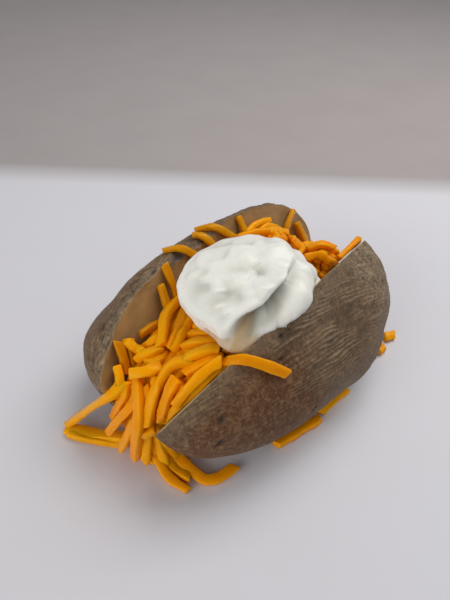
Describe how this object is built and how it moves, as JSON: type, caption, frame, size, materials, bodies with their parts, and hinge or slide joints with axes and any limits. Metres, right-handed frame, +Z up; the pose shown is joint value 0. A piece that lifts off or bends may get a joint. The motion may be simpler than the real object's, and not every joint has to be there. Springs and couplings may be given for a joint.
{
  "type": "loaded baked potato",
  "caption": "Baked potato split lengthwise and pressed open, its cut filled with a spilling heap of shredded cheese under a spoonful of sour cream.",
  "frame": {"origin": "middle of the whole part's footprint, on the surface that it stands on", "axes": "+X along the potato from the end where the cheese spills out to the far end, +Y towards the half whose cut face shows, +Z up"},
  "size_m": [0.1538, 0.1036, 0.0744],
  "materials": {
    "potato": "matt wrinkled baked skin over waxy tan flesh",
    "cheese": "soft, slightly melted, moist sheen",
    "sour_cream": "smooth and moist"
  },
  "bodies": {
    "root": {"potato": "potato", "cheese_heap": "cheese", "sour_cream": "sour_cream", "fallen_shred_1": "cheese", "fallen_shred_2": "cheese", "fallen_shred_3": "cheese", "fallen_shred_4": "cheese"}
  },
  "joints": []
}
